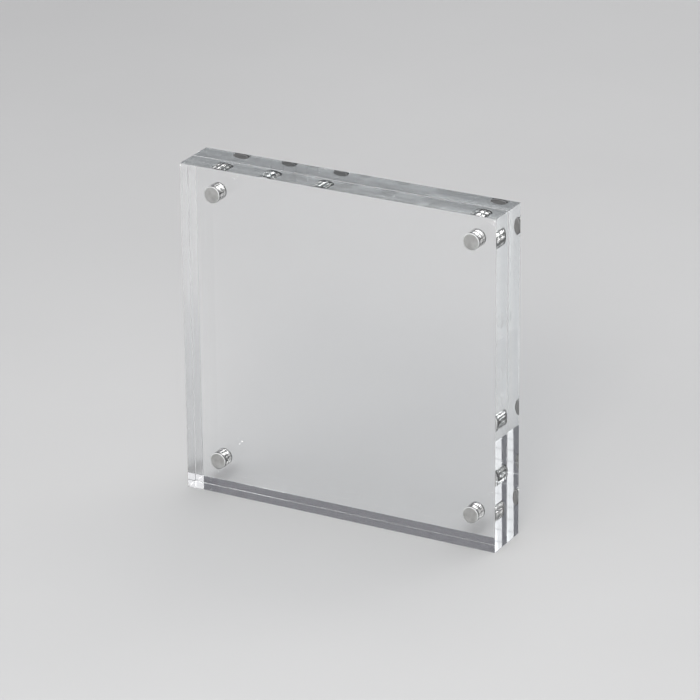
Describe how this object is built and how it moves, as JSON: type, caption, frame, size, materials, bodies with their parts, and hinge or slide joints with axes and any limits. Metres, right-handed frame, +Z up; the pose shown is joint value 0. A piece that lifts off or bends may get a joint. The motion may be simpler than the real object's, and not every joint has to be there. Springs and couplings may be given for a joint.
{
  "type": "acrylic block frame",
  "caption": "Free-standing square photo frame of two clear polished acrylic blocks, held face to face by magnets in blind corner pockets, with a thin slot for a print.",
  "frame": {"origin": "middle of the frame's bottom, on the plane where the front and rear magnets meet", "axes": "+Z up, front face towards -Y, +X to the right as seen from the front"},
  "size_m": [0.127, 0.019, 0.127],
  "materials": {
    "clear_acrylic": "clear cast acrylic, polished on every face",
    "magnet_nickel": "bright nickel plating",
    "cured_adhesive": "satin grey, milky"
  },
  "bodies": {
    "rear_half": {"rear_block": "clear_acrylic", "rear_magnet_top_left": "magnet_nickel", "rear_adhesive_top_left": "cured_adhesive", "rear_magnet_top_right": "magnet_nickel", "rear_adhesive_top_right": "cured_adhesive", "rear_magnet_bottom_left": "magnet_nickel", "rear_adhesive_bottom_left": "cured_adhesive", "rear_magnet_bottom_right": "magnet_nickel", "rear_adhesive_bottom_right": "cured_adhesive"},
    "front_half": {"front_block": "clear_acrylic", "front_magnet_top_left": "magnet_nickel", "front_adhesive_top_left": "cured_adhesive", "front_magnet_top_right": "magnet_nickel", "front_adhesive_top_right": "cured_adhesive", "front_magnet_bottom_left": "magnet_nickel", "front_adhesive_bottom_left": "cured_adhesive", "front_magnet_bottom_right": "magnet_nickel", "front_adhesive_bottom_right": "cured_adhesive"}
  },
  "joints": [
    {"name": "front_pull_off", "type": "slide", "parent": "rear_half", "child": "front_half", "axis": [0, -1, 0], "range_m": [0, 0.06]}
  ]
}
